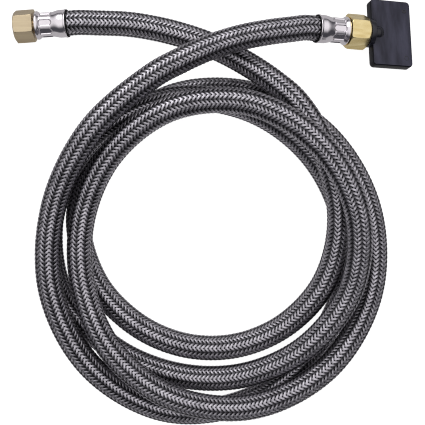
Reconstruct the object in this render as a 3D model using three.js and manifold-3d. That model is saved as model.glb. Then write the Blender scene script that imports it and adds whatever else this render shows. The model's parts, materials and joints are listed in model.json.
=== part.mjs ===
// A braided water supply line, coiled for packing. A rubber tube in a wire braid lies in three and
// three quarter turns, stacked up to three strands high. Each end has a crimped ferrule on a brass
// insert and a captive brass nut, and a plastic plug closes the larger nut.
// Millimetres, +Z up, the coil lying flat on the floor plane.
import * as THREE from "three";
import { mergeVertices } from "three/addons/utils/BufferGeometryUtils.js";
import Module from "manifold-3d";

const wasm = await Module();
wasm.setup();

// ---- Driving dimensions ----

const hose = {
  od: 13.0, // over the wire braid
  braidBore: 11.5, // across the flats of the braid's inner polygon
  tubeOd: 11.2,
  tubeBore: 8.0,
  braidSides: 10,
  tubeSides: 8,
  stationPitch: 15, // along the centreline, away from the fittings
};

// Under the ferrules the wall of the hose is squeezed on to the insert.
const crimp = {
  start: 1.0, // depth from the ferrule's mouth
  end: 6.5,
  hoseEnd: 14.0,
  squeezedOd: 10.9,
};

// Heights are from the mouth.
const ferrule = {
  length: 16.0,
  mouthOd: 14.6,
  mouthLip: 1.2,
  bellOd: 14.2,
  bellShoulder: 3.6,
  bellEnd: 8.4,
  waistOd: 12.4,
  waistBore: 11.1,
  waistEnd: 13.4,
  flangeOd: 14.6,
  flangeRim: 0.8,
  endWall: 0.9,
  neckClearance: 0.2, // round the insert's neck
  wall: 0.5,
  padCount: 8, // flats pressed round the waist
  padWidth: 3.1,
  padLength: 5.6,
  padDepth: 0.4,
};

const ring = { length: 0.8, bore: 13.3, gap: 0.1 };

// Each end's nut and the parts that match its thread.
const smallEnd = {
  nutFlats: 15.0,
  nutLength: 10.2,
  nutGap: 1.0, // between the ferrule's end and the nut's back
  faceOd: 14.2, // of the nut's round front face
  backOd: 16.4, // of its round back face
  chamferAngle: 30,
  threadBore: 10.2,
  threadDepth: 8.2,
  backBore: 8.4,
  neckOd: 7.8,
  headOd: 9.6,
};
const largeEnd = {
  nutFlats: 15.9,
  nutLength: 10.9,
  nutGap: 0.3,
  faceOd: 14.8,
  backOd: 17.2,
  chamferAngle: 45,
  threadBore: 13.3,
  threadDepth: 8.5,
  backBore: 10.6,
  neckOd: 9.8,
  headOd: 12.4,
};
const mouthChamfer = 0.7; // at the open end of each thread
const insert = {
  bore: 5.4,
  tailOd: 7.4,
  tailStart: 1.5,
  neckOverlap: 0.8, // of the neck with the ferrule's end wall
  headLength: 1.4,
  play: 0.4,
};
const washer = { bore: 5.6, clearance: 0.2, rim: 0.6, length: 2.2, gap: 0.1, tipOd: 7.4 };

const plug = {
  shankClearance: 0.6, // less than the thread's bore
  shankDepth: 3.2,
  collarOd: 14.8,
  collarLength: 2.7,
  plateLength: 21.2,
  plateWidth: 35.5,
  plateThickness: 5.4,
  plateCorner: 2.0,
  plateRoll: -10, // degrees about its axis, from level
  stemOd: 8.2,
  stemLength: 6.7,
  gap: 0.3,
};

const PAST = 1.0; // how far a cutter, or a joined piece, reaches past the face it meets

// ---- The lie of the hose ----

// Height of a strand's centreline: on the floor, on one strand, and so on.
const FLOOR = 6.5;
const coilCentre = new THREE.Vector2(-0.5, -19.25);
const STATION_ANGLE = 30;
const FIRST_ANGLE = 45;

// Radius and height of the centreline at each station, clockwise from above. Rows are quarter turns.
const coilStations = [
  [78.0, 22.7], [67.5, 19.5], [60.5, 14.5],
  [55.0, 8.5], [52.0, FLOOR], [52.0, FLOOR],
  [55.5, FLOOR], [63.0, FLOOR], [72.0, FLOOR],
  [76.5, FLOOR], [82.5, FLOOR], [84.0, FLOOR],
  [84.5, FLOOR], [85.0, FLOOR], [85.5, 9.5],
  [84.5, 16.5], [82.0, 20.0], [77.5, 20.0],
  [72.0, 20.0], [67.7, 20.0], [67.5, 20.0],
  [70.0, 26.0], [73.5, 32.5], [75.5, 33.5],
  [75.0, 35.5], [74.5, 33.0], [73.0, 23.5],
  [69.0, 19.2], [67.0, 12.0], [68.0, FLOOR],
  [73.0, FLOOR], [82.0, FLOOR], [85.0, 10.0],
  [83.5, 19.5], [79.5, 20.0], [74.5, 17.5],
  [71.5, 10.5], [70.5, FLOOR], [72.0, FLOOR],
  [74.5, FLOOR], [81.0, FLOOR], [87.0, FLOOR],
  [86.5, 13.5], [84.0, 20.5], [82.5, 24.0],
  [84.5, 33.0],
];

// From the small end's ferrule to the coil, passing under the other tail.
const smallTail = [
  [-61.0, 98.6, 9.0], [-43.0, 97.8, 9.0], [-24.7, 94.5, 9.4], [-6.5, 88.9, 10.6],
  [6.5, 82.9, 12.4], [19.2, 75.4, 15.2], [31.8, 66.1, 18.8], [42.8, 55.7, 21.8],
];
// From the coil over the small tail to the large end's ferrule.
const largeTail = [
  [-29.9, 67.3, 32.5], [-16.0, 75.3, 31.0], [-1.2, 82.4, 28.5], [13.8, 87.5, 26.6],
  [28.9, 90.8, 24.4], [40.0, 92.6, 22.2],
];

// Middle of each ferrule's mouth, and the way its fitting points.
const smallMouth = new THREE.Vector3(-75.6, 98.4, 8.9);
const largeMouth = new THREE.Vector3(53.2, 93.6, 18.9);
const smallAim = direction(183.5, -3.0);
const largeAim = direction(-1.5, -15.0);
const STRAIGHT_LEAD = 6.0; // of hose outside a mouth before it bends

// Unit vector from an azimuth and an elevation in degrees.
function direction(azimuth, elevation) {
  const a = THREE.MathUtils.degToRad(azimuth);
  const e = THREE.MathUtils.degToRad(elevation);
  return new THREE.Vector3(
    Math.cos(a) * Math.cos(e),
    Math.sin(a) * Math.cos(e),
    Math.sin(e),
  );
}

function coilPoint([radius, height], index) {
  const angle = THREE.MathUtils.degToRad(FIRST_ANGLE - index * STATION_ANGLE);
  return new THREE.Vector3(
    coilCentre.x + radius * Math.cos(angle),
    coilCentre.y + radius * Math.sin(angle),
    height,
  );
}

// A point on a fitting's axis, at a depth into the ferrule (negative is outside it).
function onAxis(mouth, aim, depth) {
  return mouth.clone().addScaledVector(aim, depth);
}

function hoseCurve() {
  const depths = [crimp.hoseEnd, crimp.end, 0, -STRAIGHT_LEAD];
  const start = depths.map((d) => onAxis(smallMouth, smallAim, d));
  const end = depths.map((d) => onAxis(largeMouth, largeAim, d)).reverse();
  const vector = (p) => new THREE.Vector3(...p);
  return new THREE.CatmullRomCurve3([
    ...start,
    ...smallTail.map(vector),
    ...coilStations.map(coilPoint),
    ...largeTail.map(vector),
    ...end,
  ]);
}

// ---- Shape helpers ----

function solidFrom(geometry) {
  const g = geometry.clone();
  g.deleteAttribute("normal");
  g.deleteAttribute("uv");
  const merged = mergeVertices(g, 1e-4);
  return new wasm.Manifold(
    new wasm.Mesh({
      numProp: 3,
      vertProperties: new Float32Array(merged.attributes.position.array),
      triVerts: new Uint32Array(merged.index.array),
    }),
  );
}

function geometryFrom(solid) {
  const mesh = solid.getMesh();
  const g = new THREE.BufferGeometry();
  g.setAttribute("position", new THREE.BufferAttribute(mesh.vertProperties, 3));
  g.setIndex(new THREE.BufferAttribute(mesh.triVerts, 1));
  g.computeVertexNormals();
  return g;
}

// Revolves [radius, height] points about Z. The profile runs anticlockwise, radius to the right.
function turned(points, segments = 32) {
  const profile = [...points, points[0]].map(([r, z]) => new THREE.Vector2(r, z));
  return new THREE.LatheGeometry(profile, segments).rotateX(Math.PI / 2);
}

// Revolves [radius, height] points that start and end on Z into a shape without a bore.
function turnedSolid(points, segments = 32) {
  const profile = points.map(([r, z]) => new THREE.Vector2(r, z));
  return new THREE.LatheGeometry(profile, segments).rotateX(Math.PI / 2);
}

// A solid bar about Z between two heights.
function turnedBar(radius, z0, z1) {
  return turnedSolid([[0, z0], [radius, z0], [radius, z1], [0, z1]]);
}

function box(width, depth, height, x, y, z) {
  return new THREE.BoxGeometry(width, depth, height).translate(x, y, z);
}

// ---- The hose ----

// Places along the curve, close together where the fittings squeeze the hose.
function hoseStations(curve) {
  const length = curve.getLength();
  const atEnds = [0, crimp.hoseEnd - crimp.end, crimp.hoseEnd - crimp.start];
  const first = crimp.hoseEnd + STRAIGHT_LEAD;
  const steps = Math.round((length - 2 * first) / hose.stationPitch);
  const places = [...atEnds];
  for (let i = 0; i <= steps; i += 1) {
    places.push(first + ((length - 2 * first) * i) / steps);
  }
  places.push(...atEnds.map((d) => length - d).reverse());
  let normal = new THREE.Vector3(0, 0, 1);
  return places.map((place) => {
    const point = curve.getPointAt(place / length);
    const tangent = curve.getTangentAt(place / length);
    normal = normal.clone().addScaledVector(tangent, -normal.dot(tangent)).normalize();
    const side = new THREE.Vector3().crossVectors(tangent, normal);
    const depth = crimp.hoseEnd - Math.min(place, length - place);
    const share = (depth - crimp.start) / (crimp.end - crimp.start);
    return { point, normal, side, squeeze: THREE.MathUtils.clamp(share, 0, 1) };
  });
}

// The radius that a layer of the hose keeps when its wall is squeezed towards the bore.
function squeezed(radius, squeeze) {
  const bore = hose.tubeBore / 2;
  const tightest = (crimp.squeezedOd - hose.tubeBore) / (hose.od - hose.tubeBore);
  return bore + (radius - bore) * THREE.MathUtils.lerp(1, tightest, squeeze);
}

// A closed tube along the stations. Outer corners lie on the outer radius, and the flats of the
// bore on the inner one, so layers nest without touching.
function hoseLayer(stations, outerRadius, innerRadius, sides) {
  const positions = [];
  const indices = [];
  const innerCorner = innerRadius / Math.cos(Math.PI / sides);
  for (const { point, normal, side, squeeze } of stations) {
    for (const radius of [outerRadius, innerCorner]) {
      for (let k = 0; k < sides; k += 1) {
        const angle = (2 * Math.PI * k) / sides;
        const reach = squeezed(radius, squeeze);
        const corner = point
          .clone()
          .addScaledVector(normal, reach * Math.cos(angle))
          .addScaledVector(side, reach * Math.sin(angle));
        positions.push(...corner.toArray());
      }
    }
  }
  const at = (station, layer, k) => (station * 2 + layer) * sides + (k % sides);
  const quad = (a, b, c, d) => indices.push(a, b, c, a, c, d);
  const last = stations.length - 1;
  for (let k = 0; k < sides; k += 1) {
    for (let i = 0; i < last; i += 1) {
      quad(at(i, 0, k), at(i, 0, k + 1), at(i + 1, 0, k + 1), at(i + 1, 0, k));
      quad(at(i, 1, k), at(i + 1, 1, k), at(i + 1, 1, k + 1), at(i, 1, k + 1));
    }
    quad(at(0, 0, k), at(0, 1, k), at(0, 1, k + 1), at(0, 0, k + 1));
    quad(at(last, 0, k), at(last, 0, k + 1), at(last, 1, k + 1), at(last, 1, k));
  }
  const g = new THREE.BufferGeometry();
  g.setAttribute("position", new THREE.Float32BufferAttribute(positions, 3));
  g.setIndex(indices);
  g.computeVertexNormals();
  return g;
}

// ---- The fittings, each about +Z with the ferrule's mouth at zero and the nut above it ----

function ferruleGeometry(end) {
  const mouthBore = ferrule.mouthOd / 2 - ferrule.wall;
  const neckBore = end.neckOd / 2 + ferrule.neckClearance;
  const shell = solidFrom(
    turned([
      [mouthBore, 0],
      [ferrule.mouthOd / 2, 0],
      [ferrule.mouthOd / 2, ferrule.mouthLip],
      [ferrule.bellOd / 2, ferrule.bellShoulder],
      [ferrule.waistOd / 2, ferrule.bellEnd],
      [ferrule.waistOd / 2, ferrule.waistEnd],
      [ferrule.flangeOd / 2, ferrule.length - ferrule.flangeRim],
      [ferrule.flangeOd / 2, ferrule.length],
      [neckBore, ferrule.length],
      [neckBore, ferrule.length - ferrule.endWall],
      [ferrule.waistBore / 2, ferrule.length - ferrule.endWall],
      [ferrule.waistBore / 2, ferrule.bellEnd],
      [mouthBore, ferrule.mouthLip],
    ]),
  );
  const padMiddle = (ferrule.bellEnd + ferrule.waistEnd) / 2;
  const padFace = ferrule.waistOd / 2 - ferrule.padDepth;
  let pressed = shell;
  for (let k = 0; k < ferrule.padCount; k += 1) {
    const pad = box(
      PAST,
      ferrule.padWidth,
      ferrule.padLength,
      padFace + PAST / 2,
      0,
      padMiddle,
    );
    pad.rotateZ((2 * Math.PI * k) / ferrule.padCount);
    pressed = pressed.subtract(solidFrom(pad));
  }
  return geometryFrom(pressed);
}

function ringGeometry() {
  const top = -ring.gap;
  const bottom = top - ring.length;
  return turned([
    [ring.bore / 2, bottom],
    [ferrule.mouthOd / 2, bottom],
    [ferrule.mouthOd / 2, top],
    [ring.bore / 2, top],
  ]);
}

// Heights that the insert, the nut and the washer share.
function levels(end) {
  const nutBack = ferrule.length + end.nutGap;
  const shoulder = nutBack + end.nutLength - end.threadDepth;
  const headStart = shoulder + insert.play;
  return { nutBack, shoulder, headStart, headEnd: headStart + insert.headLength };
}

// The brass nipple: a tail inside the tube, a neck through the ferrule, and a head in the nut.
function insertGeometry(end) {
  const { headStart, headEnd } = levels(end);
  const neckStart = ferrule.length - insert.neckOverlap;
  return turned([
    [insert.bore / 2, insert.tailStart],
    [insert.tailOd / 2, insert.tailStart],
    [insert.tailOd / 2, neckStart],
    [end.neckOd / 2, neckStart],
    [end.neckOd / 2, headStart],
    [end.headOd / 2, headStart],
    [end.headOd / 2, headEnd],
    [insert.bore / 2, headEnd],
  ]);
}

function washerGeometry(end) {
  const { headEnd } = levels(end);
  const base = headEnd + washer.gap;
  const rimRadius = end.headOd / 2 - washer.clearance;
  return turned([
    [washer.bore / 2, base],
    [rimRadius, base],
    [rimRadius, base + washer.rim],
    [washer.tipOd / 2, base + washer.length],
    [washer.bore / 2, base + washer.length],
  ]);
}

// A hexagon bar with both ends chamfered, bored for the thread and the insert's neck.
function nutGeometry(end) {
  const { nutBack, shoulder } = levels(end);
  const front = nutBack + end.nutLength;
  const cornerRadius = end.nutFlats / Math.sqrt(3);
  const hexagon = new THREE.CylinderGeometry(cornerRadius, cornerRadius, end.nutLength, 6);
  hexagon.rotateX(Math.PI / 2).rotateZ(Math.PI / 6);
  hexagon.translate(0, 0, nutBack + end.nutLength / 2);
  const frontRadius = end.faceOd / 2;
  const backRadius = end.backOd / 2;
  const outerRadius = cornerRadius + PAST;
  const slope = Math.tan(THREE.MathUtils.degToRad(end.chamferAngle));
  const chamfers = turnedSolid(
    [
      [0, nutBack],
      [backRadius, nutBack],
      [outerRadius, nutBack + (outerRadius - backRadius) * slope],
      [outerRadius, front - (outerRadius - frontRadius) * slope],
      [frontRadius, front],
      [0, front],
    ],
    48,
  );
  const threadRadius = end.threadBore / 2;
  const bore = turnedBar(threadRadius, shoulder, front + PAST);
  const back = turnedBar(end.backBore / 2, nutBack - PAST, shoulder + PAST);
  const lead = turnedSolid([
    [0, front - mouthChamfer],
    [threadRadius, front - mouthChamfer],
    [threadRadius + mouthChamfer + PAST, front + PAST],
    [0, front + PAST],
  ]);
  return geometryFrom(
    solidFrom(hexagon)
      .intersect(solidFrom(chamfers))
      .subtract(solidFrom(bore))
      .subtract(solidFrom(back))
      .subtract(solidFrom(lead)),
  );
}

// A plug with a plain shank in the nut, a collar on its end face and a flat plate to pull it by.
// The plate and the stem start inside the collar, so that the three join.
function plugGeometry(end) {
  const front = levels(end).nutBack + end.nutLength;
  const collarStart = front + plug.gap;
  const collarEnd = collarStart + plug.collarLength;
  const root = collarEnd - PAST;
  const shankRadius = end.threadBore / 2 - plug.shankClearance;
  const shank = turnedBar(shankRadius, front - plug.shankDepth, root);
  const collar = turnedBar(plug.collarOd / 2, collarStart, collarEnd);
  const stem = turnedBar(plug.stemOd / 2, root, collarEnd + plug.stemLength);
  const half = plug.plateWidth / 2;
  const corner = plug.plateCorner;
  const top = collarEnd + plug.plateLength;
  const outline = new THREE.Shape();
  outline.moveTo(-half + corner, root);
  outline.lineTo(half - corner, root);
  outline.absarc(half - corner, root + corner, corner, -Math.PI / 2, 0);
  outline.absarc(half - corner, top - corner, corner, 0, Math.PI / 2);
  outline.absarc(-half + corner, top - corner, corner, Math.PI / 2, Math.PI);
  outline.absarc(-half + corner, root + corner, corner, Math.PI, 1.5 * Math.PI);
  const plate = new THREE.ExtrudeGeometry(outline, {
    depth: plug.plateThickness,
    bevelEnabled: false,
    curveSegments: 4,
  });
  plate.translate(0, 0, -plug.plateThickness / 2).rotateX(Math.PI / 2);
  plate.rotateZ(THREE.MathUtils.degToRad(plug.plateRoll));
  return geometryFrom(
    [collar, stem, plate].map(solidFrom).reduce((a, b) => a.add(b), solidFrom(shank)),
  );
}

// ---- Materials and assembly ----

function finish(color, roughness, metalness) {
  return new THREE.MeshStandardMaterial({ color, roughness, metalness });
}

const braidWire = () => finish(0x5c5a66, 0.35, 0.9);
const rubber = () => finish(0x1c1c1e, 0.8, 0);
const stainless = () => finish(0xc9c4cc, 0.2, 1);
const satinBrass = () => finish(0xb9a37a, 0.35, 0.9);
const brightBrass = () => finish(0xe0c878, 0.25, 1);
const blackPlastic = () => finish(0x202231, 0.5, 0);

function part(name, geometry, material) {
  const mesh = new THREE.Mesh(geometry, material);
  mesh.name = name;
  return mesh;
}

// A group whose +Z points along aim, with its X axis level.
function fittingGroup(mouth, aim) {
  const level = new THREE.Vector3(0, 0, 1).cross(aim).normalize();
  const up = new THREE.Vector3().crossVectors(aim, level);
  const group = new THREE.Group();
  group.quaternion.setFromRotationMatrix(new THREE.Matrix4().makeBasis(level, up, aim));
  group.position.copy(mouth);
  return group;
}

function endFitting(prefix, end, mouth, aim, brass) {
  const group = fittingGroup(mouth, aim);
  group.add(
    part(prefix + "_end_ring", ringGeometry(), rubber()),
    part(prefix + "_ferrule", ferruleGeometry(end), stainless()),
    part(prefix + "_insert", insertGeometry(end), brass()),
    part(prefix + "_cone_washer", washerGeometry(end), rubber()),
    part(prefix + "_nut", nutGeometry(end), brass()),
  );
  return group;
}

const stations = hoseStations(hoseCurve());
const line = new THREE.Group();
line.add(
  part(
    "inner_tube",
    hoseLayer(stations, hose.tubeOd / 2, hose.tubeBore / 2, hose.tubeSides),
    rubber(),
  ),
  part(
    "braid_sleeve",
    hoseLayer(stations, hose.od / 2, hose.braidBore / 2, hose.braidSides),
    braidWire(),
  ),
  endFitting("left", smallEnd, smallMouth, smallAim, satinBrass),
);
const largeFitting = endFitting("right", largeEnd, largeMouth, largeAim, brightBrass);
largeFitting.add(part("plug", plugGeometry(largeEnd), blackPlastic()));
line.add(largeFitting);

// The origin is under the middle of the whole line, on the floor.
const box3 = new THREE.Box3().setFromObject(line, true);
const middle = box3.getCenter(new THREE.Vector3());
line.position.set(-middle.x, -middle.y, -box3.min.z);

const supplyLine = new THREE.Group();
supplyLine.add(line);
export default supplyLine;
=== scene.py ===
"""A coiled braided supply line on a pale floor, seen from straight above.

The hose follows the same centreline as the CAD part. Its braid is real woven tows: sixteen wind each
way and pass over two and under two of the others. The fittings are turned and pressed shapes built
in the frame of each fitting. Lengths are millimetres until a mesh is made, which is in metres.
"""

import json
import math

import bpy
import numpy as np
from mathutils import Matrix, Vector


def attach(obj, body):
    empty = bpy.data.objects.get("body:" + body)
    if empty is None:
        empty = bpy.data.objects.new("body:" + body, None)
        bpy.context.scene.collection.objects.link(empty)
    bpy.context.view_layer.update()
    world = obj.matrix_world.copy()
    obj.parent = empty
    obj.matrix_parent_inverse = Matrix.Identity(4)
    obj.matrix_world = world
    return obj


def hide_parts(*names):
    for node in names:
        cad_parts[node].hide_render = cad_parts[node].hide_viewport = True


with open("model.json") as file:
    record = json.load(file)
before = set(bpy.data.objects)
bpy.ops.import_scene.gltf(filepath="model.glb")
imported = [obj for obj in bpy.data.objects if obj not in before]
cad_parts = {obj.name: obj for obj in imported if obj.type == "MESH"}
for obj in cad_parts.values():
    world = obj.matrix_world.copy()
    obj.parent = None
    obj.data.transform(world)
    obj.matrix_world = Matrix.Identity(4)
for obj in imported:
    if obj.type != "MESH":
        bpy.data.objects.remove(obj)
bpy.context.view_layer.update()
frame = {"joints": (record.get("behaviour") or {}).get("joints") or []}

MM = 0.001
TURN = 2 * math.pi

# ---- The lie of the hose, as in the CAD part ----

FLOOR = 6.5  # height of a strand that lies on the floor
COIL_CENTRE = (-0.5, -19.25)
FIRST_ANGLE = 45
STATION_ANGLE = 30
# Radius and height at each station, clockwise from above. They were read off the picture by eye, put
# on this even spacing and rounded by a helper script, and then partly changed by hand.
COIL_STATIONS = [
    (78.0, 22.7), (67.5, 19.5), (60.5, 14.5),
    (55.0, 8.5), (52.0, FLOOR), (52.0, FLOOR),
    (55.5, FLOOR), (63.0, FLOOR), (72.0, FLOOR),
    (76.5, FLOOR), (82.5, FLOOR), (84.0, FLOOR),
    (84.5, FLOOR), (85.0, FLOOR), (85.5, 9.5),
    (84.5, 16.5), (82.0, 20.0), (77.5, 20.0),
    (72.0, 20.0), (67.7, 20.0), (67.5, 20.0),
    (70.0, 26.0), (73.5, 32.5), (75.5, 33.5),
    (75.0, 35.5), (74.5, 33.0), (73.0, 23.5),
    (69.0, 19.2), (67.0, 12.0), (68.0, FLOOR),
    (73.0, FLOOR), (82.0, FLOOR), (85.0, 10.0),
    (83.5, 19.5), (79.5, 20.0), (74.5, 17.5),
    (71.5, 10.5), (70.5, FLOOR), (72.0, FLOOR),
    (74.5, FLOOR), (81.0, FLOOR), (87.0, FLOOR),
    (86.5, 13.5), (84.0, 20.5), (82.5, 24.0),
    (84.5, 33.0),
]
# Points of the two tails, placed on the picture and turned into millimetres the same way.
SMALL_TAIL = [
    (-61.0, 98.6, 9.0), (-43.0, 97.8, 9.0), (-24.7, 94.5, 9.4), (-6.5, 88.9, 10.6),
    (6.5, 82.9, 12.4), (19.2, 75.4, 15.2), (31.8, 66.1, 18.8), (42.8, 55.7, 21.8),
]
LARGE_TAIL = [
    (-29.9, 67.3, 32.5), (-16.0, 75.3, 31.0), (-1.2, 82.4, 28.5), (13.8, 87.5, 26.6),
    (28.9, 90.8, 24.4), (40.0, 92.6, 22.2),
]
SMALL_MOUTH = np.array([-75.6, 98.4, 8.9])
HOSE_END = 14.0  # depth of the hose in each ferrule
CRIMP_END = 6.5
STRAIGHT_LEAD = 6.0  # of hose outside a mouth before it bends
CURVE_STEP = 0.4  # between the curve's first points
PLACE_STEP = 0.5  # between the even places along it

# ---- The hose ----

TUBE_RADIUS = 5.65
TUBE_BORE = 4.0
SQUEEZE = (1.0, 6.5)  # depths over which the ferrule squeezes the tube
SQUEEZED_RADIUS = 5.3
TUBE_SEGMENTS = 28
TUBE_SPACING = 2.5
TOWS = 16  # winding each way
TOW_LEAD = 34.5
TOW_WIDTH = 1.26
TOW_RADIUS = 6.13  # of the middle of the weave
TOW_RISE = 0.19  # above the middle at a crossing
TOW_RIDGES = (-0.26, 0.06, 0.02, 0.1, 0.02, 0.06, -0.26)  # heights across a tow of three wires
TOW_PAINTED_LIGHT = (0.0, 0.9, 1.0, 1.0, 1.0, 0.9, 0.0)  # painted light across a tow: lit wire on top, painted shade at its edges where tows tuck in
UNDER_PAINTED_LIGHT = 0.08  # share of the painted light left where a tow passes under, which paints the shade there
PAINTED_LIGHT_RUN = (-0.8, 1.2)  # shares of the rise between which the painted shade turns into painted light
RISE_SCATTER = 0.012  # random unevenness of a tow's height
TOW_STEPS = 2  # sections from one crossing to the next
TOWS_PER_PIECE = 4
BRAID_DEPTH = 3.0  # of the woven tows in each ferrule's mouth

# ---- The fittings; heights are from the ferrule's mouth, along its axis ----

FERRULE = {
    "end": 16.0,
    "lip": 7.3,
    "bell": 7.1,
    "bell_run": (3.2, 8.6),
    "waist": 6.2,
    "cone_run": (13.2, 15.4),
    "flange": 7.3,
    "bore": 5.55,
    "bore_start": 8.0,
    "wall": 0.45,
    "skirt": 3.0,  # depth to which the bell is open at its full width
    "flange_wall": 0.9,
    "neck_gap": 0.2,
}
PAD = {
    "count": 8,
    "face": 5.58,  # of its middle from the axis
    "half_width": 1.6,
    "side": 0.12,  # half the width over which its sides slope
    "start": 8.3,
    "start_bow": 1.0,  # how much nearer the mouth its middle starts
    "start_slope": 0.35,
    "end": 14.0,
    "end_bow": 0.5,
    "end_slope": 0.4,
}
RIB = {"height": 0.2, "rise": 0.6, "fall": 1.0}  # of the metal between the pads
SMALL_END = {
    "flats": 15.0,
    "front_face": 7.1,
    "back_face": 8.2,
    "back": 17.0,
    "front": 27.2,
    "slope": 30,
    "thread": 5.1,
    "shoulder": 19.0,
    "neck": 3.9,
    "head": 4.8,
}
LARGE_END = {
    "flats": 15.9,
    "front_face": 7.4,
    "back_face": 8.6,
    "back": 16.3,
    "front": 27.2,
    "slope": 45,
    "thread": 6.65,
    "shoulder": 18.7,
    "neck": 4.9,
    "head": 6.2,
}
EDGE_SOFTNESS = 0.04  # of the nuts' machined edges
NUT_GAP = 0.3  # between a nut's back hole and the insert's neck
FACE_INSET = 0.3  # of a nut's flat back face from its flats
FRONT_INSET = 0.25  # of a nut's flat front face from the end of its chamfer
FRONT_WIDENING = 0.75  # of a nut's hole at its front, past the thread's radius
THREAD = {
    "pitch": 25.4 / 24,
    "depth": 0.5,
    "steepness": 1.5,  # of its flanks
    "crest": 0.25,  # what is taken off the flanks' rise, which leaves the crests flat
    "inset": 0.15,  # how far its crests stand into the hole
    "first": 0.35,  # from the nut's front
    "last": 0.6,  # from the shoulder
    "lead_in": 0.7,
    "lead_in_run": 0.9,
    "rows": 90,
}
RING = {"inner": 6.4, "outer": 7.1, "start": -0.65, "end": -0.02}
INSERT = {"bore": 2.7, "tail": 3.7, "start": 1.5, "neck_start": 15.2, "play": 0.4, "head": 1.4}
WASHER = {"bore": 2.8, "tip": 3.7, "rim": 0.6, "length": 2.2, "gap": 0.1, "inset": 0.2}
TURNED_EDGE = 0.25  # rounding of the ring's and insert's edges
WASHER_EDGE = 0.4

COLLAR = {"radius": 7.4, "start": 27.5, "end": 30.2, "edge": 0.35}
SHANK = {"radius": 6.0, "start": 24.0, "bevel": 0.4, "bevel_run": 0.6}
STEM = {"radius": 4.1, "end": 36.9, "cap": 3.8, "cap_share": 0.98, "sunk": 0.5}
NEAR_AXIS = 0.01  # radius at which a solid turned shape closes
PLATE = {
    "half_width": 17.75,
    "start": 29.2,
    "end": 51.4,
    "thickness": 5.4,
    "corner": 2.0,
    "fillet": 0.7,
    "corner_shrink": 0.6,  # how much of the fillet's inset the corners lose
    "roll": math.radians(-10),
}
FLAT_FACE = 0.9  # least cosine to the plate's normal of a polygon on one of its flat faces
# Marks of the mould's pins on the plate: how far each is from its middle and its end, and its size.
PIN_MARKS = [
    {"across": 12.5, "from_end": 3.4, "outer": 1.15, "inner": 0.5, "proud": 0.16},
    {"across": -13.2, "from_end": 3.4, "outer": 1.3, "inner": 0.95, "proud": 0.05},
]
MARK_DEPTH = 0.1  # how far a mark's ring reaches into the plate
MARK_EDGE = 0.12

rng = np.random.default_rng(7)


# ---- Frames and curves ----

def joint_frame(name):
    """The row-frame origin and basis of a fitting: its level axis, its up axis and its aim."""
    joint = next(j for j in frame["joints"] if j["name"] == name)
    aim = np.array(joint["axis"], float)
    aim /= np.linalg.norm(aim)
    level = np.cross([0.0, 0.0, 1.0], aim)
    level /= np.linalg.norm(level)
    return np.array(joint["pos_m"]) / MM, np.stack([level, np.cross(aim, level), aim])


SMALL_AT, SMALL_BASIS = joint_frame("left_nut_spin")
LARGE_AT, LARGE_BASIS = joint_frame("right_nut_spin")
SHIFT = SMALL_AT - SMALL_MOUTH  # from the layout's origin to the row's


def catmull_rom(points, step):
    """Points about step apart on the centripetal Catmull-Rom curve through points."""
    padded = np.concatenate([[2 * points[0] - points[1]], points, [2 * points[-1] - points[-2]]])
    out = []
    for p0, p1, p2, p3 in zip(padded, padded[1:], padded[2:], padded[3:]):
        d0, d1, d2 = (max(np.linalg.norm(b - a) ** 0.5, 1e-4)
                      for a, b in ((p0, p1), (p1, p2), (p2, p3)))
        t1 = d1 * ((p1 - p0) / d0 - (p2 - p0) / (d0 + d1) + (p2 - p1) / d1)
        t2 = d1 * ((p2 - p1) / d1 - (p3 - p1) / (d1 + d2) + (p3 - p2) / d2)
        t = np.linspace(0, 1, max(2, int(d1 * d1 / step)), endpoint=False)[:, None]
        out.append(p1 + t1 * t + (3 * (p2 - p1) - 2 * t1 - t2) * t**2
                   + (2 * (p1 - p2) + t1 + t2) * t**3)
    return np.concatenate(out + [points[-1:]])


def centreline():
    """Evenly spaced points of the hose's centreline in the row frame, with frames that don't twist."""
    angles = np.radians(FIRST_ANGLE - STATION_ANGLE * np.arange(len(COIL_STATIONS)))
    radius, height = np.array(COIL_STATIONS).T
    coil = np.stack([COIL_CENTRE[0] + radius * np.cos(angles),
                     COIL_CENTRE[1] + radius * np.sin(angles), height], 1)
    depths = np.array([HOSE_END, CRIMP_END, 0, -STRAIGHT_LEAD])[:, None]
    start = SMALL_AT + depths * SMALL_BASIS[2]
    end = LARGE_AT + depths[::-1] * LARGE_BASIS[2]
    middle = np.concatenate([SMALL_TAIL, coil, LARGE_TAIL]) + SHIFT
    raw = catmull_rom(np.concatenate([start, middle, end]), CURVE_STEP)
    along = np.r_[0, np.cumsum(np.linalg.norm(np.diff(raw, axis=0), axis=1))]
    places = np.linspace(0, along[-1], int(along[-1] / PLACE_STEP) + 1)
    points = np.stack([np.interp(places, along, raw[:, k]) for k in range(3)], 1)
    tangents = np.gradient(points, places, axis=0)
    tangents /= np.linalg.norm(tangents, axis=1)[:, None]
    normals = np.empty_like(points)
    normal = np.array([0.0, 0.0, 1.0])
    for i, tangent in enumerate(tangents):
        normal = normal - tangent * (normal @ tangent)
        normal /= np.linalg.norm(normal)
        normals[i] = normal
    return places, points, normals, np.cross(tangents, normals)


PLACES, POINTS, NORMALS, SIDES = centreline()
HOSE_LENGTH = PLACES[-1]


def on_hose(place, angle, radius):
    """Row-frame points at places along the hose, angles round it and radii from its centreline."""
    table = np.concatenate([POINTS, NORMALS, SIDES], 1)
    flat = np.clip(place, 0, HOSE_LENGTH).ravel()
    c = np.stack([np.interp(flat, PLACES, column) for column in table.T], 1)
    a = np.broadcast_to(angle, place.shape).ravel()[:, None]
    r = np.broadcast_to(radius, place.shape).ravel()[:, None]
    out = c[:, :3] + r * (np.cos(a) * c[:, 3:6] + np.sin(a) * c[:, 6:])
    return out.reshape(place.shape + (3,))


# ---- Meshes ----

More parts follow.
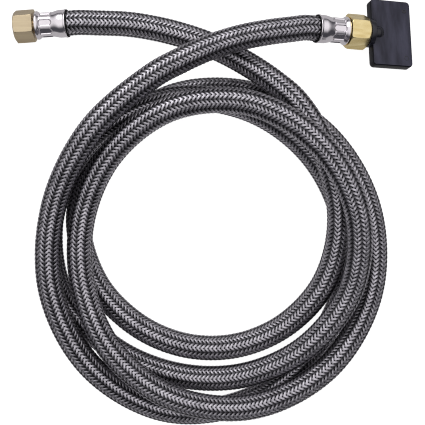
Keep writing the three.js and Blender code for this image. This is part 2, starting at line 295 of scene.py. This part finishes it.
def new_mesh(name, vertices, faces, crease=None):
    """A smooth-shaded object from millimetre vertices; edges sharper than crease degrees stay hard."""
    mesh = bpy.data.meshes.new(name)
    mesh.from_pydata((np.asarray(vertices) * MM).tolist(), [], faces)
    mesh.update()
    mesh.shade_smooth()
    if crease is not None:
        mesh.set_sharp_from_angle(angle=math.radians(crease))
    piece = bpy.data.objects.new(name, mesh)
    bpy.context.scene.collection.objects.link(piece)
    return piece


def quad_mesh(name, vertices, quads):
    """A smooth-shaded object from arrays, for meshes too large for from_pydata."""
    mesh = bpy.data.meshes.new(name)
    mesh.vertices.add(len(vertices))
    mesh.vertices.foreach_set("co", (vertices * MM).astype(np.float32).ravel())
    mesh.loops.add(quads.size)
    mesh.loops.foreach_set("vertex_index", quads.astype(np.int32).ravel())
    mesh.polygons.add(len(quads))
    mesh.polygons.foreach_set("loop_start", np.arange(0, quads.size, 4, dtype=np.int32))
    mesh.update(calc_edges=True)
    mesh.shade_smooth()
    piece = bpy.data.objects.new(name, mesh)
    bpy.context.scene.collection.objects.link(piece)
    return piece


def grid_quads(rows, columns, wrap_rows=False, wrap_columns=False):
    """Quads of a grid of vertices, row by row."""
    i = np.arange(rows if wrap_rows else rows - 1)[:, None]
    j = np.arange(columns if wrap_columns else columns - 1)[None, :]
    i2 = (i + 1) % rows
    j2 = (j + 1) % columns
    quads = np.stack([i * columns + j, i * columns + j2, i2 * columns + j2, i2 * columns + j], -1)
    return quads.reshape(-1, 4)


def settle(piece, body, material, nodes=()):
    """Gives a piece its material, body and the CAD nodes it stands for."""
    piece.data.materials.append(material)
    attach(piece, body)
    if nodes:
        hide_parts(*nodes)
    return piece


def in_fitting(points, at, basis):
    """Row-frame places of points given as level, up and height along a fitting's axis."""
    return at + np.asarray(points) @ basis


def revolved(name, profile, at, basis, segments=96, crease=None):
    """Turns a closed loop of (radius, height) points about a fitting's axis. A radius may be an array
    with a value for each segment."""
    angles = TURN * np.arange(segments) / segments
    rows = []
    for radius, height in profile:
        radius = np.broadcast_to(radius, angles.shape)
        height = np.broadcast_to(height, angles.shape)
        rows.append(np.stack([radius * np.cos(angles), radius * np.sin(angles), height], 1))
    vertices = in_fitting(np.concatenate(rows), at, basis)
    quads = grid_quads(len(profile), segments, wrap_rows=True, wrap_columns=True)
    return new_mesh(name, vertices, quads[:, ::-1].tolist(), crease)


def rounded(profile, size, steps=3):
    """Rounds each corner of a closed loop of (radius, height) points."""
    points = np.array(profile, float)
    out = []
    for before, corner, after in zip(np.roll(points, 1, 0), points, np.roll(points, -1, 0)):
        a = before - corner
        b = after - corner
        cut = min(size, np.linalg.norm(a) * 0.45, np.linalg.norm(b) * 0.45)
        a = corner + a / np.linalg.norm(a) * cut
        b = corner + b / np.linalg.norm(b) * cut
        for t in np.linspace(0, 1, steps + 1):
            out.append((1 - t) ** 2 * a + 2 * t * (1 - t) * corner + t * t * b)
    return out


def smoothstep(low, high, x):
    t = np.clip((x - low) / (high - low), 0, 1)
    return t * t * (3 - 2 * t)


# ---- Materials ----

NOISE_DETAIL = 3.0
COARSE_IN_METAL = 0.5  # scale of a metal's colour noise, as a share of its grain
COARSE_IN_SOFT = 0.1
BLEND_RUN = (0.3, 0.7)  # noise values between which the darker colour turns into the lighter


def node_material(name, base, roughness, metallic=0.0, specular=0.5):
    material = bpy.data.materials.new(name)
    material.use_nodes = True
    tree = material.node_tree
    shader = tree.nodes["Principled BSDF"]
    shader.inputs["Base Color"].default_value = (*base, 1)
    shader.inputs["Roughness"].default_value = roughness
    shader.inputs["Metallic"].default_value = metallic
    shader.inputs["Specular IOR Level"].default_value = specular
    return material, tree, shader


def noise_texture(tree, scale, stretch=(1, 1, 1)):
    """Noise over object coordinates, with scale in features per metre."""
    coordinates = tree.nodes.new("ShaderNodeTexCoord")
    mapping = tree.nodes.new("ShaderNodeMapping")
    mapping.inputs["Scale"].default_value = stretch
    noise = tree.nodes.new("ShaderNodeTexNoise")
    noise.inputs["Scale"].default_value = scale
    noise.inputs["Detail"].default_value = NOISE_DETAIL
    tree.links.new(coordinates.outputs["Object"], mapping.inputs["Vector"])
    tree.links.new(mapping.outputs["Vector"], noise.inputs["Vector"])
    return noise.outputs["Fac"]


def blend_colour(tree, shader, factor, dark, light):
    ramp = tree.nodes.new("ShaderNodeValToRGB")
    ramp.color_ramp.elements[0].position = BLEND_RUN[0]
    ramp.color_ramp.elements[0].color = (*dark, 1)
    ramp.color_ramp.elements[1].position = BLEND_RUN[1]
    ramp.color_ramp.elements[1].color = (*light, 1)
    tree.links.new(factor, ramp.inputs["Fac"])
    tree.links.new(ramp.outputs["Color"], shader.inputs["Base Color"])


def vary_roughness(tree, shader, factor, low, high):
    spread = tree.nodes.new("ShaderNodeMapRange")
    spread.inputs["To Min"].default_value = low
    spread.inputs["To Max"].default_value = high
    tree.links.new(factor, spread.inputs["Value"])
    tree.links.new(spread.outputs["Result"], shader.inputs["Roughness"])


def bump(tree, shader, height, distance):
    node = tree.nodes.new("ShaderNodeBump")
    node.inputs["Distance"].default_value = distance
    node.inputs["Strength"].default_value = 1.0
    tree.links.new(height, node.inputs["Height"])
    tree.links.new(node.outputs["Normal"], shader.inputs["Normal"])


def metal(name, dark, light, rough, grain, depth, stretch=(1, 1, 1)):
    material, tree, shader = node_material(name, light, rough[0], metallic=1.0)
    coarse = noise_texture(tree, grain * COARSE_IN_METAL, stretch)
    blend_colour(tree, shader, coarse, dark, light)
    fine = noise_texture(tree, grain, stretch)
    vary_roughness(tree, shader, fine, *rough)
    bump(tree, shader, fine, depth)
    return material


def soft(name, dark, light, rough, grain, depth, specular, stretch=(1, 1, 1)):
    material, tree, shader = node_material(name, light, rough[0], specular=specular)
    coarse = noise_texture(tree, grain * COARSE_IN_SOFT, stretch)
    blend_colour(tree, shader, coarse, dark, light)
    fine = noise_texture(tree, grain)
    vary_roughness(tree, shader, fine, *rough)
    bump(tree, shader, fine, depth)
    return material


WIRE_DARK = (0.42, 0.41, 0.44)
WIRE_LIGHT = (0.72, 0.7, 0.75)
# painted shade: the wire's colour at the tows' edges and where they pass under
WIRE_PAINTED_SHADE = (0.01, 0.01, 0.013)
WIRE_ROUGHNESS = (0.34, 0.46)
WIRE_GRAIN = 225.0


def woven_wire():
    """Bright drawn wire darkened with painted shade, by the tows' painted-light value, at their edges
    and where they tuck under.
    """
    material, tree, shader = node_material("wire", WIRE_LIGHT, WIRE_ROUGHNESS[0], metallic=1.0)
    noise = noise_texture(tree, WIRE_GRAIN)
    blend_colour(tree, shader, noise, WIRE_DARK, WIRE_LIGHT)
    bright = shader.inputs["Base Color"].links[0].from_socket
    # the tows' painted light mixes the wire's colour towards the painted shade
    painted_light = tree.nodes.new("ShaderNodeAttribute")
    painted_light.attribute_name = "painted_light"
    mix = tree.nodes.new("ShaderNodeMix")
    mix.data_type = "RGBA"
    mix.inputs["A"].default_value = (*WIRE_PAINTED_SHADE, 1)
    tree.links.new(painted_light.outputs["Fac"], mix.inputs["Factor"])
    tree.links.new(bright, mix.inputs["B"])
    tree.links.new(mix.outputs["Result"], shader.inputs["Base Color"])
    vary_roughness(tree, shader, noise, *WIRE_ROUGHNESS)
    return material


WIRE = woven_wire()
STEEL = metal("ferrule_steel", (0.78, 0.75, 0.78), (0.96, 0.92, 0.95), (0.12, 0.2), grain=120.0,
              depth=5e-6)
SATIN_BRASS = metal("satin_brass", (0.55, 0.45, 0.3), (0.68, 0.57, 0.38), (0.3, 0.42), grain=900.0,
                    stretch=(0.1, 1, 1), depth=1e-5)
BRIGHT_BRASS = metal("bright_brass", (0.76, 0.6, 0.27), (1.0, 0.85, 0.46), (0.18, 0.3), grain=900.0,
                     stretch=(0.1, 1, 1), depth=1e-5)
RUBBER = soft("black_rubber", (0.004, 0.004, 0.005), (0.009, 0.009, 0.01), (0.6, 0.75), 1500.0, 2e-5,
              specular=0.15)
PLASTIC = soft("black_plastic", (0.016, 0.016, 0.03), (0.064, 0.064, 0.1), (0.3, 0.42), 2400.0, 2e-5,
               specular=0.35, stretch=(1, 0.15, 1))
# a glossier copy of the plug's plastic, darker as painted shade round the collar and stem; the pin
# marks use it too
SHADED_STEM_PLASTIC = soft("plastic_stem_painted_shade", (0.008, 0.008, 0.014), (0.02, 0.02, 0.032), (0.24, 0.34), 1200.0,
                    2e-5, specular=0.6)
# painted shade: a darker copy of the plug's plastic for the plate's sides, which face away from the
# light
SHADED_SIDE_PLASTIC = soft("plastic_sides_painted_shade", (0.004, 0.004, 0.008), (0.01, 0.01, 0.016), (0.28, 0.36), 1200.0,
                    2e-5, specular=0.12)


# ---- The hose ----

def tow_heights(crossing, first_over):
    """Height of a tow at a crossing number: up over two crossings, down under the next two."""
    return TOW_RISE * math.sqrt(2) * np.cos(math.pi / 2 * (crossing - first_over - 0.5))


def make_braid():
    crossing_pitch = TOW_LEAD / (2 * TOWS)
    start = HOSE_END - BRAID_DEPTH
    count = int((HOSE_LENGTH - 2 * start) / crossing_pitch * TOW_STEPS)
    crossing = np.arange(count + 1) / TOW_STEPS
    place = start + crossing * crossing_pitch
    across = np.linspace(-1, 1, len(TOW_RIDGES))
    ridge = np.array(TOW_RIDGES)
    turn_rate = TURN / TOW_LEAD
    slant = math.atan(turn_rate * TOW_RADIUS)
    pieces = []
    for group in range(2 * TOWS // TOWS_PER_PIECE):
        vertices = []
        painted_light = []
        for tow in range(group * TOWS_PER_PIECE, (group + 1) * TOWS_PER_PIECE):
            way = 1 if tow < TOWS else -1
            number = tow % TOWS
            offset = across * TOW_WIDTH / 2
            first = -2 * number if way > 0 else 2 + 2 * number
            rise = tow_heights(crossing, first)
            # painted light: high where a tow rides over, painted shade where it passes under
            raised = smoothstep(PAINTED_LIGHT_RUN[0] * TOW_RISE, PAINTED_LIGHT_RUN[1] * TOW_RISE, rise)
            painted_light.append(np.outer(UNDER_PAINTED_LIGHT + (1 - UNDER_PAINTED_LIGHT) * raised, TOW_PAINTED_LIGHT).ravel())
            rise = rise + rng.normal(0, RISE_SCATTER, len(rise))
            middle = number * TURN / TOWS + way * turn_rate * (place - start)
            angle = middle[:, None] - way * offset[None, :] * math.cos(slant) / TOW_RADIUS
            along = place[:, None] + offset[None, :] * math.sin(slant)
            radius = TOW_RADIUS + rise[:, None] + ridge[None, :]
            vertices.append(on_hose(along, angle, radius).reshape(-1, 3))
        quads = grid_quads(count + 1, len(across))
        size = (count + 1) * len(across)
        quads = np.concatenate([quads + k * size for k in range(TOWS_PER_PIECE)])
        if group * TOWS_PER_PIECE < TOWS:
            quads = quads[:, ::-1]
        piece = quad_mesh(f"braid_tows_{group + 1}", np.concatenate(vertices), quads)
        layer = piece.data.attributes.new("painted_light", "FLOAT", "POINT")
        layer.data.foreach_set("value", np.concatenate(painted_light).astype(np.float32))
        pieces.append(piece)
    return pieces


def make_tube():
    """The rubber tube inside the braid, squeezed on to the inserts under the ferrules."""
    segments = TUBE_SEGMENTS
    place = np.linspace(0, HOSE_LENGTH, int(HOSE_LENGTH / TUBE_SPACING))
    depth = HOSE_END - np.minimum(place, HOSE_LENGTH - place)
    outer = TUBE_RADIUS + (SQUEEZED_RADIUS - TUBE_RADIUS) * smoothstep(*SQUEEZE, depth)
    angle = TURN * np.arange(segments) / segments
    shape = (len(place), segments)
    rings = [on_hose(np.broadcast_to(place[:, None], shape), angle[None, :], r)
             for r in (outer[:, None], np.full((len(place), 1), TUBE_BORE))]
    quads = grid_quads(len(place), segments, wrap_columns=True)
    inner = len(place) * segments
    outside = quads[:, ::-1]
    inside = quads + inner
    last = inner - segments
    k = np.arange(segments)
    k2 = (k + 1) % segments
    ends = np.concatenate([np.stack([k, k2, k2 + inner, k + inner], 1),
                           np.stack([k2, k, k + inner, k2 + inner], 1) + last])
    vertices = np.concatenate([r.reshape(-1, 3) for r in rings])
    return quad_mesh("rubber_tube", vertices, np.concatenate([outside, inside, ends]))


# ---- The fittings ----

def ferrule_radius(height, angles):
    """Outside radius of a ferrule: a bell, a waist with pressed pads, and a cone out to the flange."""
    waist = FERRULE["waist"]
    body = FERRULE["bell"] - (FERRULE["bell"] - waist) * smoothstep(*FERRULE["bell_run"], height)
    body += (FERRULE["flange"] - waist) * smoothstep(*FERRULE["cone_run"], height)
    spacing = TURN / PAD["count"]
    off_pad = (angles + spacing / 2) % spacing - spacing / 2
    off = np.abs(off_pad) * waist
    half = PAD["half_width"]
    bow = np.clip(off / half, 0, 1) ** 2
    across = 1 - smoothstep(half - PAD["side"], half + PAD["side"], off)
    start = PAD["start"] - PAD["start_bow"] * (1 - bow)
    end = PAD["end"]
    along = smoothstep(start - PAD["start_slope"], start + PAD["start_slope"], height)
    along = along * (1 - smoothstep(end - PAD["end_slope"], end, height + PAD["end_bow"] * bow))
    rib = RIB["height"] * (1 - across) * smoothstep(PAD["start"] - RIB["rise"], PAD["start"], height)
    rib = rib * (1 - smoothstep(end - RIB["fall"], end, height))
    pressed = PAD["face"] / np.cos(off_pad)
    return body + rib + (np.minimum(pressed, body) - body) * across * along


def make_ferrule(name, at, basis, neck):
    """A deep-drawn sleeve with a bell mouth, a waist pressed by eight jaws and an end flange."""
    segments = 400
    angles = TURN * np.arange(segments) / segments
    inside = FERRULE["bell"] - FERRULE["wall"]
    lip = FERRULE["lip"]
    end = FERRULE["end"]
    rim = FERRULE["flange"]
    wall_start = end - FERRULE["flange_wall"]
    hole = neck + FERRULE["neck_gap"]
    outline = [(inside, FERRULE["skirt"]), (inside, 0.25), (inside + 0.08, 0.05), (lip - 0.25, 0.0),
               (lip - 0.05, 0.1), (lip, 0.3), (lip, 0.55), (lip - 0.1, 0.85)]
    for height in np.linspace(1.1, end - 0.5, 96):
        outline.append((ferrule_radius(height, angles), height))
    outline += [(rim, end - 0.3), (rim - 0.08, end - 0.08), (rim - 0.3, end),
                (hole, end), (hole, wall_start), (FERRULE["bore"], wall_start),
                (FERRULE["bore"], FERRULE["bore_start"])]
    return revolved(name, outline, at, basis, segments, crease=50)


def soft_minimum(a, b):
    """The lesser of two radii, with the edge between them rounded."""
    gap = np.abs(a - b)
    return np.minimum(a, b) - EDGE_SOFTNESS * np.exp(-gap / EDGE_SOFTNESS)


def hexagon_radius(apothem, segments):
    """Radius of a hexagon with one flat up and slightly rounded corners, for each segment."""
    angles = TURN * np.arange(segments) / segments
    faces = TURN / 4 + TURN / 6 * np.arange(6)
    facing = np.clip(np.cos(angles[:, None] - faces[None, :]), 0, 1)
    power = 160  # the higher, the sharper the corners
    return apothem / (facing**power).sum(1) ** (1 / power)


def make_nut(name, at, basis, end):
    """A hexagon nut with chamfered end faces and a helical thread inside."""
    segments = 240
    angles = TURN * np.arange(segments) / segments
    hexagon = hexagon_radius(end["flats"] / 2, segments)
    corner = end["flats"] / math.sqrt(3)
    slope = math.tan(math.radians(end["slope"]))
    back, front = end["back"], end["front"]
    back_rise = (corner - end["back_face"]) * slope
    front_rise = (corner - end["front_face"]) * slope
    heights = np.concatenate([
        np.linspace(back, back + back_rise, 10),
        np.linspace(back + back_rise, front - front_rise, 5)[1:-1],
        np.linspace(front - front_rise, front, 20),
    ])
    hole = end["neck"] + NUT_GAP
    outline = [(hole, back), (end["flats"] / 2 - FACE_INSET, back)]
    for height in heights:
        cone = min(end["back_face"] + (height - back) / slope,
                   end["front_face"] + (front - height) / slope)
        outline.append((soft_minimum(hexagon, cone), height))
    outline.append((end["front_face"] - FRONT_INSET, front))
    outline.append((end["thread"] + FRONT_WIDENING, front))
    first, last = front - THREAD["first"], end["shoulder"] + THREAD["last"]
    for height in np.linspace(first, last, THREAD["rows"]):
        turns = (height - end["shoulder"]) / THREAD["pitch"] - angles / TURN
        wave = np.abs(turns % 1.0 - 0.5) * 2
        groove = THREAD["depth"] * np.clip(wave * THREAD["steepness"] - THREAD["crest"], 0, 1)
        lead_in = THREAD["lead_in"] * (1 - smoothstep(0, THREAD["lead_in_run"], front - height))
        outline.append((end["thread"] - THREAD["inset"] + np.maximum(groove, lead_in), height))
    outline += [(end["thread"], end["shoulder"]), (hole, end["shoulder"])]
    return revolved(name, outline, at, basis, segments, crease=38)


def make_turned_parts(prefix, end, at, basis, brass):
    """The end ring, insert and cone washer, which the nut and ferrule mostly hide."""
    ring = [(RING["inner"], RING["start"]), (RING["outer"], RING["start"]),
            (RING["outer"], RING["end"]), (RING["inner"], RING["end"])]
    ring = revolved(prefix + "_ring", rounded(ring, TURNED_EDGE), at, basis)
    settle(ring, "hose", RUBBER, [prefix + "_end_ring"])
    bore, tail, neck_start = INSERT["bore"], INSERT["tail"], INSERT["neck_start"]
    head = end["shoulder"] + INSERT["play"]
    top = head + INSERT["head"]
    insert = [(bore, INSERT["start"]), (tail, INSERT["start"]), (tail, neck_start),
              (end["neck"], neck_start), (end["neck"], head), (end["head"], head),
              (end["head"], top), (bore, top)]
    insert = revolved(prefix + "_nipple", rounded(insert, TURNED_EDGE), at, basis, crease=45)
    settle(insert, "hose", brass, [prefix + "_insert"])
    base = top + WASHER["gap"]
    tip = base + WASHER["length"]
    outside = end["head"] - WASHER["inset"]
    washer = [(WASHER["bore"], base), (outside, base), (outside, base + WASHER["rim"]),
              (WASHER["tip"], tip), (WASHER["bore"], tip)]
    washer = revolved(prefix + "_washer", rounded(washer, WASHER_EDGE, 4), at, basis)
    settle(washer, "hose", RUBBER, [prefix + "_cone_washer"])


def make_end(prefix, end, at, basis, brass):
    ferrule = make_ferrule(prefix + "_sleeve", at, basis, end["neck"])
    settle(ferrule, "hose", STEEL, [prefix + "_ferrule"])
    nut = make_nut(prefix + "_hex_nut", at, basis, end)
    settle(nut, prefix + "_nut", brass, [prefix + "_nut"])
    make_turned_parts(prefix, end, at, basis, brass)


def plate_basis():
    """The level, up and aim axes of the plug's plate, which is rolled about the fitting's axis."""
    level, up, aim = LARGE_BASIS
    c, s = math.cos(PLATE["roll"]), math.sin(PLATE["roll"])
    return np.stack([c * level + s * up, c * up - s * level, aim])


def make_plate():
    """A flat plate with rounded corners and filleted edges."""
    steps = 8
    fillet = PLATE["fillet"]
    half_thickness = PLATE["thickness"] / 2
    middle = (PLATE["start"] + PLATE["end"]) / 2
    half_length = (PLATE["end"] - PLATE["start"]) / 2
    profile = [(fillet * (1 - math.sin(a)), half_thickness - fillet * (1 - math.cos(a)))
               for a in np.linspace(0, math.pi / 2, 6)]
    profile = profile + [(inset, -up) for inset, up in reversed(profile)]
    rows = []
    for inset, up in profile:
        ring = []
        radius = PLATE["corner"] - inset * PLATE["corner_shrink"]
        for quarter, (sx, sz) in enumerate(((1, 1), (-1, 1), (-1, -1), (1, -1))):
            cx = sx * (PLATE["half_width"] - inset - radius)
            cz = sz * (half_length - inset - radius) + middle
            for a in np.linspace(0, math.pi / 2, steps + 1) + quarter * math.pi / 2:
                ring.append((cx + radius * math.cos(a), up, cz + radius * math.sin(a)))
        rows.append(ring)
    count = len(rows[0])
    quads = grid_quads(len(rows), count, wrap_columns=True).tolist()
    quads.append(list(range(count))[::-1])
    quads.append(list(range((len(rows) - 1) * count, len(rows) * count)))
    points = in_fitting(np.array(rows).reshape(-1, 3), LARGE_AT, plate_basis())
    return new_mesh("plug_plate", points, quads, crease=60)


def make_pin_mark(name, mark):
    """A small ring that a pin of the mould leaves on the plate's upper face."""
    level, up, aim = plate_basis()
    place = [mark["across"], PLATE["thickness"] / 2, PLATE["end"] - mark["from_end"]]
    at = in_fitting(place, LARGE_AT, plate_basis())
    outline = [(mark["inner"], -MARK_DEPTH), (mark["outer"], -MARK_DEPTH),
               (mark["outer"], mark["proud"]), (mark["inner"], mark["proud"])]
    return revolved(name, rounded(outline, MARK_EDGE), at, np.stack([aim, level, up]), 48)


def make_plug():
    """The plate, the collar with the shank in the nut, the domed stem and the marks of the pins."""
    outside, start, end = COLLAR["radius"], COLLAR["start"], COLLAR["end"]
    shank, tip = SHANK["radius"], SHANK["start"]
    collar = [(NEAR_AXIS, tip), (shank - SHANK["bevel"], tip), (shank, tip + SHANK["bevel_run"]),
              (shank, start), (outside, start), (outside, end), (NEAR_AXIS, end)]
    stem, stem_start = STEM["radius"], end - STEM["sunk"]
    cap_base = STEM["end"] - STEM["cap"]
    cap = [(stem * math.cos(a), cap_base + STEM["cap"] * math.sin(a))
           for a in np.linspace(0, math.pi / 2 * STEM["cap_share"], 16)]
    dome = [(NEAR_AXIS, stem_start), (stem, stem_start), *cap, (NEAR_AXIS, STEM["end"])]
    pieces = [
        make_plate(),
        revolved("plug_collar", rounded(collar, COLLAR["edge"]), LARGE_AT, LARGE_BASIS, crease=60),
        revolved("plug_stem", dome, LARGE_AT, LARGE_BASIS, 64, crease=60),
    ]
    pieces += [make_pin_mark(f"pin_mark_{k + 1}", mark) for k, mark in enumerate(PIN_MARKS)]
    # the collar, stem and pin marks take the darker copy, painted shade
    for piece in pieces[1:]:
        settle(piece, "plug", SHADED_STEM_PLASTIC)
    plate = settle(pieces[0], "plug", PLASTIC, ["plug"])
    # the plate's sides, all but its two flat faces, take the painted shade
    plate.data.materials.append(SHADED_SIDE_PLASTIC)
    up = Vector(plate_basis()[1].tolist())
    for polygon in plate.data.polygons:
        if abs(polygon.normal.dot(up)) < FLAT_FACE:
            polygon.material_index = 1


# ---- Build ----

tube = make_tube()
settle(tube, "hose", RUBBER, ["inner_tube"])
braid = make_braid()
for piece in braid:
    settle(piece, "hose", WIRE)
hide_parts("braid_sleeve")
make_end("left", SMALL_END, SMALL_AT, SMALL_BASIS, SATIN_BRASS)
make_end("right", LARGE_END, LARGE_AT, LARGE_BASIS, BRIGHT_BRASS)
make_plug()

# ---- Floor, light and camera ----

CAMERA_HEIGHT = 480.0
VIEW_WIDTH = 225.25  # of the floor plane, across the picture
SENSOR = 36.0
FLOOR_HALF = 3.0  # metres, half of the floor's width
FLOOR_GREY = (0.35, 0.35, 0.35)
FLOOR_GLOW = 0.93
FLOOR_IN_METAL = (0.46, 0.45, 0.46, 1)  # how bright the floor looks where metal mirrors it
CEILING = (0.0, 0.3, 0.95)  # the way to the brightest part of the studio
CEILING_RUN = (0.3, 0.82)  # of the cosine to it, from dark to bright
DARK_SIDE = (0.06, 0.06, 0.07)
BRIGHT_SIDE = (1.0, 0.98, 1.0)
STUDIO_STRENGTH = 0.93
KEY_LIGHT = {"place": (-0.2, 0.5, 0.4), "target": (0, 0.05, 0), "size": 0.35, "power": 0.7}
FILTER_WIDTH = 1.1  # pixels


def make_floor():
    mesh = bpy.data.meshes.new("floor")
    half = FLOOR_HALF
    mesh.from_pydata([(-half, -half, 0), (half, -half, 0), (half, half, 0), (-half, half, 0)], [],
                     [(0, 1, 2, 3)])
    floor = bpy.data.objects.new("floor", mesh)
    bpy.context.scene.collection.objects.link(floor)
    material, tree, shader = node_material("floor_white", FLOOR_GREY, 0.9, specular=0.0)
    shader.inputs["Emission Color"].default_value = (1, 1, 1, 1)
    shader.inputs["Emission Strength"].default_value = FLOOR_GLOW
    path = tree.nodes.new("ShaderNodeLightPath")
    reflected = tree.nodes.new("ShaderNodeEmission")
    reflected.inputs["Color"].default_value = FLOOR_IN_METAL
    choice = tree.nodes.new("ShaderNodeMixShader")
    tree.links.new(path.outputs["Is Glossy Ray"], choice.inputs["Fac"])
    tree.links.new(shader.outputs["BSDF"], choice.inputs[1])
    tree.links.new(reflected.outputs["Emission"], choice.inputs[2])
    tree.links.new(choice.outputs["Shader"], tree.nodes["Material Output"].inputs["Surface"])
    mesh.materials.append(material)
    floor.visible_diffuse = False


def area_light(name, place, target, size, power):
    light = bpy.data.lights.new(name, "AREA")
    light.shape = "DISK"
    light.size = size
    light.energy = power
    lamp = bpy.data.objects.new(name, light)
    bpy.context.scene.collection.objects.link(lamp)
    towards = np.array(target, float) - np.array(place, float)
    lamp.location = place
    lamp.rotation_mode = "QUATERNION"
    lamp.rotation_quaternion = Vector(towards).to_track_quat("-Z", "Y")


def make_camera():
    camera = bpy.data.objects.new("camera", bpy.data.cameras.new("camera"))
    bpy.context.scene.collection.objects.link(camera)
    camera.data.sensor_width = SENSOR
    camera.data.lens = SENSOR * CAMERA_HEIGHT / VIEW_WIDTH
    camera.location = ((SHIFT + [0, 0, CAMERA_HEIGHT]) * MM).tolist()
    bpy.context.scene.camera = camera


def make_studio():
    """Light from a wide bright ceiling, a little towards the fittings' side, over a dark horizon."""
    world = bpy.data.worlds.new("studio")
    world.use_nodes = True
    tree = world.node_tree
    coordinates = tree.nodes.new("ShaderNodeTexCoord")
    facing = tree.nodes.new("ShaderNodeVectorMath")
    facing.operation = "DOT_PRODUCT"
    facing.inputs[1].default_value = CEILING
    tree.links.new(coordinates.outputs["Generated"], facing.inputs[0])
    ramp = tree.nodes.new("ShaderNodeValToRGB")
    ramp.color_ramp.interpolation = "EASE"
    ramp.color_ramp.elements[0].position = CEILING_RUN[0]
    ramp.color_ramp.elements[0].color = (*DARK_SIDE, 1)
    ramp.color_ramp.elements[1].position = CEILING_RUN[1]
    ramp.color_ramp.elements[1].color = (*BRIGHT_SIDE, 1)
    tree.links.new(facing.outputs["Value"], ramp.inputs["Fac"])
    tree.links.new(ramp.outputs["Color"], tree.nodes["Background"].inputs["Color"])
    tree.nodes["Background"].inputs["Strength"].default_value = STUDIO_STRENGTH
    return world


make_floor()
area_light("key", **KEY_LIGHT)
make_camera()
scene = bpy.context.scene
scene.world = make_studio()
scene.view_settings.view_transform = "Standard"
scene.cycles.use_denoising = True
scene.cycles.filter_width = FILTER_WIDTH
